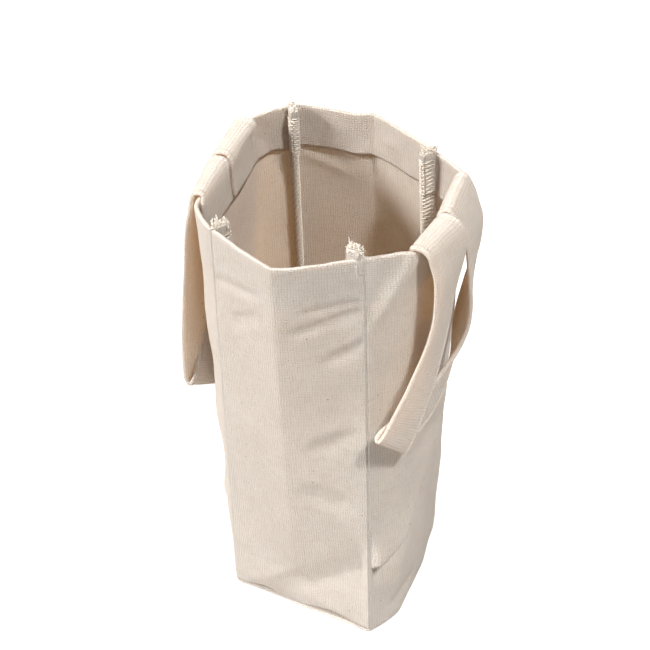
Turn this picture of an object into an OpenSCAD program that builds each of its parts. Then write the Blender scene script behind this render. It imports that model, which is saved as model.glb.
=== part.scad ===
// Cotton canvas bottle carrier: a tall gusseted bag with a loop handle on each of its two wide faces.
// Origin at the centre of the base, +Z up. The handle faces look along X and the gussets along Y.
// The bag stands opened out: squared at the base and an eight-sided round at the rim.

/* [Bag] */
// Height from the base to the rim
bag_h = 254; // [200:1:340]
// Cloth width of a face that carries a handle
face_w = 94; // [86:1:120]
// Cloth width of a gusset
gusset_w = 76; // [64:1:100]
// Thickness of the canvas
cloth_t = 0.9; // [0.6:0.1:1.3]
// Depth of the hem that is turned in at the rim
hem_h = 25; // [18:1:35]
// Rounding of the fold where a face turns under the base
base_fold_r = 3; // [2:0.5:5]

/* [Opened shape] */
// Mean turn of the face's two flanks at the base, in degrees
base_flank_angle = 28; // [10:1:35]
// Mean turn of the face's two flanks at the rim, in degrees
rim_flank_angle = 48; // [30:1:55]
// Height of the squared foot, where the gusset's pressed crease runs out
foot_h = 36; // [20:1:60]
// Slope of each half of a gusset at the top of the foot, in degrees
foot_gusset_angle = 8; // [2:1:15]
// Slope of each half of a gusset at the rim, in degrees
rim_gusset_angle = 21.5; // [10:0.5:30]
// How far the two handle faces are slid past each other at the rim
rim_slide = 5; // [0:0.5:8]
// Largest distance that the slumped cloth stands from its regular shape
slump = 8; // [0:0.5:8]
// Distance of the regular shape's axis from the middle of the whole, towards the right face
axis_x = 2.4; // [0:0.1:4]
// The same distance towards the rear gusset
axis_y = 2.8; // [0:0.1:4]

/* [Seams] */
// Depth of the seam allowances inside the corners
allowance_w = 8; // [6:0.5:10]
// Direction of an allowance away from the line through both handles, in degrees
allowance_angle = 53; // [45:1:60]
// Depth of the overlock stitches on the raw edges
overlock_w = 5; // [3:0.5:5.5]
// Thickness of the overlock thread
overlock_t = 0.5; // [0.3:0.1:0.8]
// Length of the overlock chain left above the rim
overlock_tail = 2.5; // [1:0.5:5]

/* [Handles] */
// Width of the folded strap
strap_w = 26; // [20:1:28]
// Thickness of the folded strap
strap_t = 2; // [1.4:0.1:2.6]
// Slit between the two ends of one strap
strap_gap = 0.8; // [0.6:0.1:2]
// Length of each strap end sewn inside the hem
strap_end_l = 21; // [12:1:23]
// Straight stretch of the strap over the rim
crest_l = 4; // [3.5:0.5:8]
// Radius at which the strap turns down outside the rim
crest_r = 7; // [5:0.5:10]
// Drop of the right loop below its hinge line
right_drop = 112; // [95:1:130]
// Drop of the left loop below its hinge line
left_drop = 130; // [95:1:140]
// How far the foot of the right loop hangs towards the front
right_swing = 45; // [35:1:50]
// How far the foot of the left loop hangs towards the front
left_swing = 18; // [10:1:25]
// How far the foot of the right loop lies inwards of its crest
right_foot_in = 6; // [3:0.5:6]
// How far the foot of the left loop lies inwards of its crest
left_foot_in = 2.5; // [0:0.5:3]
// Slant of the right loop's front leg at the foot, towards the front, in degrees
right_slant = 29; // [15:1:35]
// Slant of the left loop's front leg at the foot, towards the front, in degrees
left_slant = 4; // [0:1:20]
// Turn of the right loop's fold, its rear end outwards, in degrees
right_fold_turn = 27; // [15:1:35]
// Turn of the left loop's fold, its rear end outwards, in degrees
left_fold_turn = -6; // [-15:1:0]
// Fall of the right loop's fold towards the rear, in degrees
right_fold_fall = 48; // [35:1:55]
// Fall of the left loop's fold towards the rear, in degrees
left_fold_fall = 30; // [20:1:40]
// Radius of the fold at the foot of a loop
fold_r = 2.5; // [2:0.5:4]
// How far the rear leg of a loop bows to the rear
rear_bow = 6; // [0:1:10]
// How far the front leg of a loop bows away from the bag
front_bow = 2; // [0:0.5:4]

/* [Fit] */
// Running clearance round a hinge line, over the rim and beside the bag
clearance = 0.3; // [0.2:0.05:0.5]
// Flat canvas left beside the strap ends on each face
pad_margin = 1.5; // [1:0.5:3]

/* [Hidden] */

canvas = "#E8DFCF";
thread = "#DCCFB8";

// How far solids that are joined into one piece run into each other
lap = 0.6;
// Steps of a quarter round, of a strap's leg and of the fold at a loop's foot
quarter_steps = 4;
leg_steps = 12;
fold_steps = 8;
// Heights of the cloth's sections between foot and hem, as shares of that stretch
wall_shares = [0.2, 0.4, 0.6, 0.8];
// Turn of each third of a flank, from the flat middle outwards, as shares of its mean angle
flank_turn_shares = [0.7, 1, 1.3];
// Slope of each quarter of a gusset, from the corner to the crease, as shares of its mean angle
gusset_turn_shares = [1.15, 0.85];
// Length of the pull on a leg's curve at its top and at its foot, as shares of the drop
front_top_pull_share = 0.35;
rear_top_pull_share = 0.65;
front_foot_pull_share = 0.25;
rear_foot_pull_share = 0.4;
// How much of the strap's thickness its folded edges are rounded by
strap_edge_share = 0.3;
// Where the cloth stands from its regular shape, at the base, half way up and at the rim, as shares of
// the slump. In turn round the bag: right face, rear right corner, rear crease, rear left corner, left
// face, front left corner, front crease and front right corner.
slump_shares = [
    [[0, 0], [-0.1, 0.03], [-0.13, 0.06]],
    [[-0.44, -0.25], [-0.5, -0.25], [-0.78, -0.54]],
    [[-0.06, -0.06], [-0.33, -0.18], [-0.73, -0.4]],
    [[0, 0], [-0.38, 0.15], [-0.9, 0.38]],
    [[0, 0], [-0.19, -0.14], [-0.43, -0.34]],
    [[0.33, 0], [0.03, -0.13], [-0.38, -0.26]],
    [[0.1, 0], [-0.38, -0.15], [-0.74, -0.31]],
    [[0.2, -0.05], [-0.39, 0.13], [-0.94, 0.33]]];

face_half = face_w / 2;
gusset_half = gusset_w / 2;
pad_half = strap_w + strap_gap / 2 + pad_margin;
flank_l = face_half - pad_half;
hem_t = 2 * cloth_t;
hem_z = bag_h - hem_h;
allowance_dir = [-cos(allowance_angle), -sin(allowance_angle)];

function mix(a, b, k) = a + (b - a) * k;
function unit(v) = v / norm(v);
function mirrored(p) = [p.x, -p.y];
function reversed(v) = [for (i = [len(v) - 1 : -1 : 0]) v[i]];
// Sum of the first n entries of a list
function total(v, n) = n <= 0 ? 0 * v[0] : v[n - 1] + total(v, n - 1);
// Running ends of a chain of steps that starts at a point
function chain(start, steps) = [for (i = [0 : len(steps)]) start + total(steps, i)];

// How the cloth stands at height z

function flank_angle(z) = mix(base_flank_angle, rim_flank_angle, z / bag_h);
function gusset_angle(z) = z < foot_h
    ? mix(0, foot_gusset_angle, z / foot_h)
    : mix(foot_gusset_angle, rim_gusset_angle, (z - foot_h) / (bag_h - foot_h));
function flank_steps(z) = [for (share = flank_turn_shares) let (a = share * flank_angle(z))
    [-sin(a), cos(a)] * flank_l / len(flank_turn_shares)];
function gusset_steps(z) = [for (share = gusset_turn_shares) let (a = share * gusset_angle(z))
    [-cos(a), sin(a)] * gusset_half / len(gusset_turn_shares)];
function corner_x(z) = -total(gusset_steps(z), len(gusset_turn_shares)).x;
// Distance of the flat middle of a handle face from the axis
function pad_x(z) = corner_x(z) - total(flank_steps(z), len(flank_turn_shares)).x;
function corner(z) = [corner_x(z), pad_half + total(flank_steps(z), len(flank_turn_shares)).y];
function slide(z) = rim_slide * z / bag_h;
// The right face slides to the rear and the left face to the front
function slid(p, z) = [p.x, p.y + slide(z) * p.x / pad_x(z)];
// How far the cloth has moved at one of the eight places round the bag
function moved(place, z) = let (k = z / bag_h, s = slump_shares[place % len(slump_shares)])
    [axis_x, axis_y]
    + slump * ((1 - k) * (1 - 2 * k) * s[0] + 4 * k * (1 - k) * s[1] + k * (2 * k - 1) * s[2]);
// A stretch of a regular line, turned half round where way is -1, between two places round the bag
function stood(stretch, z, way, first, last) = [for (i = [0 : len(stretch) - 1])
    way * slid(stretch[i], z) + mix(moved(first, z), moved(last, z), i / (len(stretch) - 1))];

// Outer line of a handle face from corner to corner: the right face, or with way -1 the left one
function face_line(z, way) = let (
    half = chain([pad_x(z), pad_half], flank_steps(z)),
    place = way > 0 ? 7 : 3)
    concat(
        stood(reversed([for (q = half) mirrored(q)]), z, way, place, place + 1),
        [way * slid([pad_x(z), 0], z) + moved(place + 1, z)],
        stood(half, z, way, place + 1, place + 2));
// Outer line of a gusset over its crease: the rear gusset, or with way -1 the front one
function gusset_line(z, way) = let (
    half = chain(corner(z), gusset_steps(z)),
    place = way > 0 ? 1 : 5,
    first = stood(half, z, way, place, place + 1),
    other = stood(reversed([for (q = half) [-q.x, q.y]]), z, way, place + 1, place + 2))
    concat(first, [for (i = [1 : len(other) - 1]) other[i]]);

// Sections of a panel

function inward(a, b) = let (d = unit(b - a)) [-d.y, d.x];
function turned_in(line, i, depth) = let (m = inward(line[i - 1], line[i]), n = inward(line[i], line[i + 1]))
    line[i] + depth * (m + n) / (1 + m * n);
function across(u, d) = abs(u.x * d.y - u.y * d.x);
// Point inside a corner, at one depth from the panel and another from the seam
function in_corner(p, u, d, depth, side) = p + (side * u + depth * d) / across(u, d);
function off_seam(u, d) = unit(u - (u * d) * d);

// A panel from depth a to depth b of its outer line, with allowances t thick along d0 and d1
function panel(line, d0, d1, a, b, t) = let (
    n = len(line),
    u0 = unit(line[1] - line[0]),
    u1 = unit(line[n - 2] - line[n - 1]),
    tip0 = line[0] + allowance_w * d0,
    tip1 = line[n - 1] + allowance_w * d1)
    concat(
        [tip0, in_corner(line[0], u0, d0, a, 0)],
        [for (i = [1 : n - 2]) turned_in(line, i, a)],
        [in_corner(line[n - 1], u1, d1, a, 0), tip1, tip1 + t * off_seam(u1, d1),
            in_corner(line[n - 1], u1, d1, b, t)],
        [for (i = [n - 2 : -1 : 1]) turned_in(line, i, b)],
        [in_corner(line[0], u0, d0, b, t), tip0 + t * off_seam(u0, d0)]);

function at_height(section, z) = [for (p = section) [p.x, p.y, z]];

// Solid through a row of closed sections that all have the same even number of points. The points
// face each other in pairs across the section, the first with the last, so the ends are strips.
module skin(sections) {
    n = len(sections[0]);
    last = (len(sections) - 1) * n;
    sides = [for (i = [0 : n : last - 1]) for (j = [0 : n - 1]) let (k = (j + 1) % n)
        each [[i + j, i + n + j, i + n + k], [i + j, i + n + k, i + k]]];
    ends = [for (j = [0 : n / 2 - 2]) let (k = n - 1 - j)
        each [[j, j + 1, k - 1], [j, k - 1, k],
            [last + j, last + k - 1, last + j + 1], [last + j, last + k, last + k - 1]]];
    polyhedron(points = [for (section = sections) each section], faces = concat(sides, ends));
}

// The panels

// Heights from the foot to the rim, each with the depths of the cloth's outer and inner side
wall_levels = concat(
    [[foot_h / 2, 0, cloth_t], [foot_h, 0, cloth_t]],
    [for (share = wall_shares) [mix(foot_h, hem_z, share), 0, cloth_t]],
    [[hem_z, 0, cloth_t], [hem_z + cloth_t, 0, hem_t], [bag_h - cloth_t, 0, hem_t],
        [bag_h, cloth_t / 2, hem_t - cloth_t / 2]]);
// Depth of the inner side of the round fold under a face
function fold_depth(z) = z <= cloth_t
    ? base_fold_r + lap
    : base_fold_r - sqrt(pow(base_fold_r - cloth_t, 2) - pow(base_fold_r - z, 2));
fold_levels = [for (i = [0 : quarter_steps]) let (a = i * 90 / quarter_steps, z = base_fold_r * (1 - cos(a)))
    [z, base_fold_r * (1 - sin(a)), fold_depth(z)]];

module face_wall(way) {
    skin([for (level = concat(fold_levels, wall_levels)) let (z = level[0])
        at_height(panel(face_line(z, way), way * mirrored(allowance_dir), way * allowance_dir,
            level[1], level[2], z > hem_z ? hem_t : cloth_t), z)]);
}

// Edge of the base where it turns up into a face
function base_edge(way) = let (
    line = face_line(0, way),
    last = len(line) - 1,
    d0 = way * mirrored(allowance_dir),
    d1 = way * allowance_dir)
    concat(
        [line[0] - way * [base_fold_r, 0], in_corner(line[0], unit(line[1] - line[0]), d0, base_fold_r, 0)],
        [for (i = [1 : last - 1]) turned_in(line, i, base_fold_r)],
        [in_corner(line[last], unit(line[last - 1] - line[last]), d1, base_fold_r, 0),
            line[last] - way * [base_fold_r, 0]]);

// One strip of canvas: down the right face, under the base and up the left face
module body_strip() color(canvas) {
    face_wall(1);
    face_wall(-1);
    linear_extrude(cloth_t) polygon(concat(base_edge(1), base_edge(-1)));
}

// Distance of the ends of a base seam's allowance from the corners, clear of the corner seams
base_seam_inset = 2 * (hem_t + overlock_t) - allowance_w * allowance_dir.x;
// Corner, crease and corner of a gusset's lower edge, with the ends set in
function base_seam(way) = let (line = gusset_line(0, way), n = len(line), crease = line[(n - 1) / 2])
    [line[0] + base_seam_inset * unit(crease - line[0]), crease,
        line[n - 1] + base_seam_inset * unit(crease - line[n - 1])];
function base_seam_at(way, depth) = [for (p = base_seam(way)) p - [0, way * depth]];

module gusset(way) color(canvas) {
    other_dir = [-allowance_dir.x, allowance_dir.y];
    skin([for (level = concat([[cloth_t, 0, cloth_t]], wall_levels)) let (z = level[0])
        at_height(panel(gusset_line(z, way), way * allowance_dir, way * other_dir, level[1], level[2],
            z > hem_z ? hem_t : cloth_t), z)]);
    translate([0, 0, cloth_t]) linear_extrude(cloth_t) polygon(concat(
        base_seam_at(way, cloth_t / 2), reversed(base_seam_at(way, allowance_w))));
}

module rear_gusset() gusset(1);
module front_gusset() gusset(-1);

// The overlock stitches

// Channel of thread over the raw edges of the two allowances at the first or the last corner of a face
module corner_overlock(way, first) color(thread) {
    side = [-allowance_dir.y, allowance_dir.x];
    d = way * (first ? mirrored(allowance_dir) : allowance_dir);
    s = way * (first ? -mirrored(side) : side);
    levels = concat([[cloth_t, 0, cloth_t]], wall_levels, [[bag_h + overlock_tail, 0, hem_t]]);
    skin([for (level = levels) let (
        z = level[0],
        t = z > hem_z ? hem_t : cloth_t,
        line = face_line(min(z, bag_h), way),
        p = first ? line[0] : line[len(line) - 1])
        at_height([for (q = [[allowance_w - overlock_w, t], [allowance_w, t], [allowance_w, -t],
            [allowance_w - overlock_w, -t], [allowance_w - overlock_w, -t - overlock_t],
            [allowance_w + overlock_t, -t - overlock_t], [allowance_w + overlock_t, t + overlock_t],
            [allowance_w - overlock_w, t + overlock_t]]) p + q.x * d + q.y * s], z)]);
}

module rear_right_overlock() corner_overlock(1, false);
module front_right_overlock() corner_overlock(1, true);
module front_left_overlock() corner_overlock(-1, false);
module rear_left_overlock() corner_overlock(-1, true);

// Thread over the raw edge of the gusset's allowance on the base
module base_overlock(way) color(thread) {
    skin([for (p = base_seam(way)) [for (q = [
        [allowance_w - overlock_w, 2 * cloth_t], [allowance_w, 2 * cloth_t], [allowance_w, cloth_t],
        [allowance_w + overlock_t, cloth_t], [allowance_w + overlock_t, 2 * cloth_t + overlock_t],
        [allowance_w - overlock_w, 2 * cloth_t + overlock_t]]) [p.x, p.y - way * q.x, q.y]]]);
}

module rear_base_overlock() base_overlock(1);
module front_base_overlock() base_overlock(-1);

// The straps

// The straps are drawn on the right face, and for the left face, way -1, they are drawn mirrored

// Middle of a face's flat, outwards and to the rear
function flat_x(z, way) = pad_x(z) + way * moved(way > 0 ? 0 : 4, z).x;
flat_y = [for (way = [1, -1]) way * slide(bag_h) + moved(way > 0 ? 0 : 4, bag_h).y];
// Inner side of the hem behind the strap ends, continued above the rim
function hem_x(z, way) = mix(flat_x(hem_z + cloth_t, way), flat_x(bag_h - cloth_t, way),
    (z - hem_z - cloth_t) / (hem_h - hem_t)) - hem_t;
hinge_z = bag_h + clearance + strap_t / 2;
function hinge_x(way) = hem_x(hinge_z, way) - strap_t / 2;
// Distance from the slit between the strap ends to the middle of each strap
strap_y = (strap_w + strap_gap) / 2;

// One sewn strap end: flat against the hem, with a round top edge on the hinge line
module strap_end(y, way) {
    low_z = bag_h - strap_end_l;
    translate([0, y + strap_w / 2, 0]) rotate([90, 0, 0]) linear_extrude(strap_w) {
        polygon([[hem_x(low_z, way) - strap_t, low_z], [hem_x(low_z, way), low_z],
            [hinge_x(way) + strap_t / 2, hinge_z], [hinge_x(way) - strap_t / 2, hinge_z]]);
        translate([hinge_x(way), hinge_z]) circle(d = strap_t, $fn = 32);
    }
}

module right_strap_front_end() color(canvas) strap_end(flat_y[0] - strap_y, 1);
module right_strap_rear_end() color(canvas) strap_end(flat_y[0] + strap_y, 1);
module left_strap_front_end() color(canvas) mirror([1, 0, 0]) strap_end(flat_y[1] - strap_y, -1);
module left_strap_rear_end() color(canvas) mirror([1, 0, 0]) strap_end(flat_y[1] + strap_y, -1);

// Section of the strap, as places along its width and its thickness
function strap_section() = let (w = strap_w / 2, t = strap_t / 2, c = strap_t * strap_edge_share)
    [[w, c - t], [w, t - c], [w - c, t], [c - w, t], [-w, t - c], [-w, c - t], [c - w, -t], [w - c, -t]];
// The section at a station: a place, the strap's travel there and the direction of its width
function strap_ring(station) = let (n = unit(cross(station[1], station[2])))
    [for (q = strap_section()) station[0] + q.x * station[2] + q.y * n];
function square_to(w, t) = unit(w - (w * t) * t);

function curve_point(c, k) = pow(1 - k, 3) * c[0] + 3 * k * pow(1 - k, 2) * c[1]
    + 3 * k * k * (1 - k) * c[2] + pow(k, 3) * c[3];
function curve_travel(c, k) = unit(pow(1 - k, 2) * (c[1] - c[0]) + 2 * k * (1 - k) * (c[2] - c[1])
    + k * k * (c[3] - c[2]));

along = [0, 1, 0];
down = [0, 0, -1];
outward = [1, 0, 0];

// Stations of the strap over the rim, from the hinge line outwards and down
function crest(x, y) = concat(
    [[[x + strap_t / 2 + clearance, y, hinge_z], outward, along]],
    [for (i = [0 : quarter_steps]) let (a = i * 90 / quarter_steps)
        [[x + crest_l + crest_r * sin(a), y, hinge_z - crest_r * (1 - cos(a))],
            [cos(a), 0, -sin(a)], along]]);
// Direction of the strap's width with a turn outwards and a fall towards the rear
function width_dir(turn, fall) = [sin(turn) * cos(fall), cos(turn) * cos(fall), -sin(fall)];
// Stations down a leg that follows a curve and turns its width as it nears the foot
function leg(curve, turn, fall) = [for (i = [1 : leg_steps]) let (
    k = i / leg_steps,
    t = curve_travel(curve, k))
    [curve_point(curve, k), t, square_to(width_dir(turn * pow(k, 2), fall * pow(k, 2)), t)]];
// The same stations walked the other way
function turned(stations) = [for (s = reversed(stations)) [s[0], -s[1], s[2]]];
// Stations round a slanted fold: the travel keeps its part along the fold and turns over in the rest
function fold(foot, t, f) = let (
    part = t * f,
    rest = sqrt(1 - part * part),
    g = square_to(t, f),
    o = cross(g, f))
    [for (i = [0 : fold_steps]) let (
        a = i * 180 / fold_steps,
        travel = part * f + rest * (cos(a) * g - sin(a) * o))
        [foot + fold_r * (cos(a) * o + sin(a) * g + (PI * a / 180 - PI / 2) * part / rest * f),
            travel, square_to(f, travel)]];

// One strap from its front end down to the folded foot and up to its rear end
module loop(way, drop, swing, foot_in, slant, turn, fall) {
    x = hinge_x(way);
    y = flat_y[way > 0 ? 0 : 1];
    top = [x + crest_l + crest_r, y, hinge_z - crest_r];
    foot_fold = fold([top.x - foot_in, y - swing, hinge_z - drop + fold_r],
        [0, -sin(slant), -cos(slant)], width_dir(turn, fall));
    front_foot = foot_fold[0];
    rear_foot = foot_fold[fold_steps];
    front = [top - strap_y * along,
        top - strap_y * along + front_top_pull_share * drop * down + front_bow * outward,
        front_foot[0] - front_foot_pull_share * drop * front_foot[1],
        front_foot[0]];
    rear = [top + strap_y * along,
        top + (strap_y + rear_bow) * along + rear_top_pull_share * drop * down,
        rear_foot[0] + rear_foot_pull_share * drop * rear_foot[1],
        rear_foot[0]];
    skin([for (station = concat(crest(x, y - strap_y), leg(front, turn, fall),
        [for (i = [1 : fold_steps - 1]) foot_fold[i]],
        turned(concat(crest(x, y + strap_y), leg(rear, turn, fall))))) strap_ring(station)]);
}

module right_handle() color(canvas)
    loop(1, right_drop, right_swing, right_foot_in, right_slant, right_fold_turn, right_fold_fall);
module left_handle() color(canvas) mirror([1, 0, 0])
    loop(-1, left_drop, left_swing, left_foot_in, left_slant, left_fold_turn, left_fold_fall);

body_strip();
front_gusset();
rear_gusset();
front_right_overlock();
front_left_overlock();
rear_right_overlock();
rear_left_overlock();
front_base_overlock();
rear_base_overlock();
right_strap_front_end();
right_strap_rear_end();
left_strap_front_end();
left_strap_rear_end();
right_handle();
left_handle();
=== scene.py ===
"""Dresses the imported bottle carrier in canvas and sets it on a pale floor.

The bag's panels are open sheets of cloth that are bent into their standing form, folded over at the
hem and at the seams, and then given their thickness. The two straps are swept over the rim and down
the outside, and the overlock and the frayed ends are real threads.
"""

import logging
import math
from dataclasses import dataclass, replace
from enum import Enum
from functools import cached_property, lru_cache, partial
from typing import Callable, Iterable, Sequence

import bmesh
import bpy
import numpy as np
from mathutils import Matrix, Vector, noise

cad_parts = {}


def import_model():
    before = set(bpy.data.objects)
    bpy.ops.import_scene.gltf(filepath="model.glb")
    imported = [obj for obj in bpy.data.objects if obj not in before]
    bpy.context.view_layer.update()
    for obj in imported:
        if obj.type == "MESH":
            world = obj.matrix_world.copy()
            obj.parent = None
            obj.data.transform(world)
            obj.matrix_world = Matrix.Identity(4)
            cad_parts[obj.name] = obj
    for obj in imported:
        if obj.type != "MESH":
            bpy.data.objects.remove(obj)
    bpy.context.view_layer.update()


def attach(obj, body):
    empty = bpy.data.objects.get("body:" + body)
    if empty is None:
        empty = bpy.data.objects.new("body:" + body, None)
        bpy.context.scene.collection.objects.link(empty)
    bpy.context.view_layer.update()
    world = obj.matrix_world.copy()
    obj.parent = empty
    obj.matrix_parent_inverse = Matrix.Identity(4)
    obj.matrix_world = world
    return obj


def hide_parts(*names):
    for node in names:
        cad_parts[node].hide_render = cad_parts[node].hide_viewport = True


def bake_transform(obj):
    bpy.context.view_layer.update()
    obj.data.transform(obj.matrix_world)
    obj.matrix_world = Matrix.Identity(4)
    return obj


LOG = logging.getLogger("bottle_carrier")

MM = 0.001
UV_UNIT = 0.1
WELD = 0.01 * MM
FULL_TURN = 360
CLOTH_UV = "cloth"
WHITE = (1, 1, 1, 1)

Point = tuple[float, float]
Colour = tuple[float, float, float]
Ramp = tuple[float, float, float, float]
Place = Callable[[float, float], Vector]


class Side(Enum):
    """The bag's two handle faces and its two gussets, by the way that each looks along X and Y."""

    RIGHT = (1.0, 0.0)
    LEFT = (-1.0, 0.0)
    REAR = (0.0, 1.0)
    FRONT = (0.0, -1.0)

    @property
    def is_face(self) -> bool:
        """Whether the panel is one of the two that carry the handles."""
        return self.value[0] != 0

    @property
    def way(self) -> float:
        """The sign of the way that the panel looks."""
        return sum(self.value)


def between(ends: Point, share: float) -> float:
    """Goes straight from the first of two values to the second."""
    return ends[0] + (ends[1] - ends[0]) * share


def smooth(value: float, low: float, high: float) -> float:
    """Goes softly from 0 at low to 1 at high."""
    share = min(max((value - low) / (high - low), 0.0), 1.0)
    return share * share * (3 - 2 * share)


def bell(off: float, width: float) -> float:
    """Gives a soft hump of height 1 that falls off over a width."""
    return math.exp(-((off / width) ** 2))


def ruffle(x: float, y: float, wave: float, seed: float) -> float:
    """Gives a slow irregular swell with waves of a length, from about -1 to 1."""
    return noise.noise(Vector((x / wave, y / wave, seed)))


@dataclass(frozen=True)
class Ruler:
    """Places of a grid's lines, closer together where the cloth turns tightly."""

    marks: tuple[float, ...]
    steps: tuple[int, ...]

    @property
    def count(self) -> int:
        """The number of grid steps."""
        return sum(self.steps)

    def at(self, share: float) -> float:
        """Finds the place of a grid line.

        Args:
            share: The line as a share of the grid, from 0 to 1.

        Returns:
            The line's place.
        """
        left = share * self.count
        for mark, after, steps in zip(self.marks, self.marks[1:], self.steps):
            if left <= steps:
                return mark + (after - mark) * left / steps
            left -= steps
        return self.marks[-1]


@dataclass(frozen=True)
class Fold:
    """A soft ridge in a panel, or a valley where its rise is negative, in millimetres."""

    start: Point
    end: Point
    rise: float
    upper: float
    lower: float
    open_start: bool = False
    open_end: bool = False
    sharp: bool = False

    CLOSED_RAMP = (-0.1, 0.35)
    OPEN_RAMP = (-0.35, 0.05)
    ROUNDING = 0.12

    def at(self, across: float, up: float) -> float:
        """Gives how far the fold lifts the cloth at a place.

        Args:
            across: Place across the panel, in metres.
            up: Height on the panel, in metres.

        Returns:
            The lift, in metres.
        """
        aside, above = across / MM - self.start[0], up / MM - self.start[1]
        run = (self.end[0] - self.start[0], self.end[1] - self.start[1])
        length = math.hypot(*run)
        along = (aside * run[0] + above * run[1]) / length**2
        off = (above * run[0] - aside * run[1]) / length * math.copysign(1.0, run[0])
        width = self.upper if off > 0 else self.lower
        lift = self.rise * MM
        for gone, is_open in ((along, self.open_start), (1 - along, self.open_end)):
            lift *= smooth(gone, *(self.OPEN_RAMP if is_open else self.CLOSED_RAMP))
        if self.sharp:
            return lift * math.exp(self.ROUNDING - math.hypot(off / width, self.ROUNDING))
        return lift * bell(off, width)


@dataclass(frozen=True)
class Stance:
    """How far the cloth stands from its regular form, in millimetres, at a bearing round the bag in degrees."""

    bearing: float
    base: Point
    middle: Point
    rim: Point

    @property
    def heights(self) -> tuple[Point, Point, Point]:
        """The distances at the base, half way up and at the rim."""
        return (self.base, self.middle, self.rim)


@dataclass(frozen=True, eq=False)
class Form:
    """The standing form of the opened bag."""

    height: float = 254 * MM
    face: float = 94 * MM
    gusset: float = 76 * MM
    pad_half: float = 27.9 * MM
    foot: float = 34 * MM
    cloth: float = 0.9 * MM
    hem: float = 25 * MM
    base_fold: float = 3 * MM
    slide: float = 5 * MM
    allowance: float = 8 * MM
    allowance_angle: float = math.radians(53)
    pressed_angle: float = math.radians(8)
    press_height: float = 34 * MM
    press_top: float = 2 * MM
    tab_rise: float = 4.5 * MM
    fin_top: float = 2 * MM
    flank_angles: Point = (28.0, 48.0)
    gusset_angles: Point = (8.0, 21.5)
    pad_turn: float = 4 * MM
    crease_turn: float = 1.2 * MM
    step: float = 0.5 * MM
    past_rim: float = 1.02
    axis: Point = (2.4 * MM, 2.8 * MM)
    stances: tuple[Stance, ...] = (
        Stance(-131, (2.6, 0.0), (0.2, -1.0), (-3.0, -2.1)),
        Stance(-90, (0.8, 0.0), (-3.0, -1.2), (-5.9, -2.5)),
        Stance(-46, (1.6, -0.4), (-3.1, 1.0), (-7.5, 2.6)),
        Stance(2, (0.0, 0.0), (-0.8, 0.2), (-1.0, 0.5)),
        Stance(32, (-4.0, -1.0), (-3.5, -0.5), (-3.4, -2.0)),
        Stance(51, (-3.5, -2.0), (-4.0, -2.0), (-6.2, -4.3)),
        Stance(90, (-0.5, -0.5), (-2.6, -1.4), (-5.8, -3.2)),
        Stance(134, (0.0, 0.0), (-3.0, 1.2), (-7.2, 3.0)),
        Stance(180, (0.0, 0.0), (-1.5, -1.1), (-3.4, -2.7)),
    )

    @cached_property
    def ring(self) -> tuple[Stance, ...]:
        """Closes the stances to a ring, so that every bearing lies between two of them.

        Returns:
            The stances, with the last one also before the first and the first one also after the last.
        """
        first, last = self.stances[0], self.stances[-1]
        return (replace(last, bearing=last.bearing - FULL_TURN), *self.stances,
                replace(first, bearing=first.bearing + FULL_TURN))

    @lru_cache(maxsize=4096)
    def section(self, up: float) -> "Section":
        """Works out the bag's outline at a height, in metres, or at the nearest one that it has."""
        return Section(self, min(max(up, 0.0), self.height))

    def fin_angle(self, way_x: float, way_y: float, up: float) -> float:
        """Gives how a corner's allowances lie: the front right ones are pressed to the gusset at the rim.

        Args:
            way_x: Positive for a corner of the right face.
            way_y: Positive for a corner of the rear gusset.
            up: Height, in metres.

        Returns:
            The angle from the gusset, in radians.
        """
        if way_x < 0 or way_y > 0:
            return self.allowance_angle
        pressed = smooth(up, self.height - self.press_height, self.height - self.press_top)
        return between((self.allowance_angle, self.pressed_angle), pressed)

    def fin_rise(self, way_x: float, way_y: float) -> float:
        """Gives how far a corner's allowances stand above the rim: the front right ones stand highest."""
        return self.tab_rise if way_x > 0 > way_y else self.fin_top

    def settle(self, x: float, y: float, z: float) -> Vector:
        """Moves a place on the regular form to where the bag has slumped to.

        Args:
            x: First coordinate on the regular form, in metres.
            y: Second coordinate, in metres.
            z: Height, in metres.

        Returns:
            The place in the part's frame.
        """
        share = min(max(z / self.height, 0.0), self.past_rim)
        y += self.slide * share * x / self.section(z).pad_x
        bearing = math.degrees(math.atan2(y, x))
        low, high = next((a, b) for a, b in zip(self.ring, self.ring[1:]) if a.bearing <= bearing <= b.bearing)
        turn = smooth(bearing, low.bearing, high.bearing)
        weights = ((1 - share) * (1 - 2 * share), 4 * share * (1 - share), share * (2 * share - 1))
        near = smooth(math.hypot(x, y), 0.0, self.pad_half)
        moved = []
        for axis in (0, 1):
            total = sum(weight * between((first[axis], second[axis]), turn)
                        for first, second, weight in zip(low.heights, high.heights, weights))
            moved.append(total * near * MM + self.axis[axis])
        return Vector((x + moved[0], y + moved[1], z))


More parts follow.
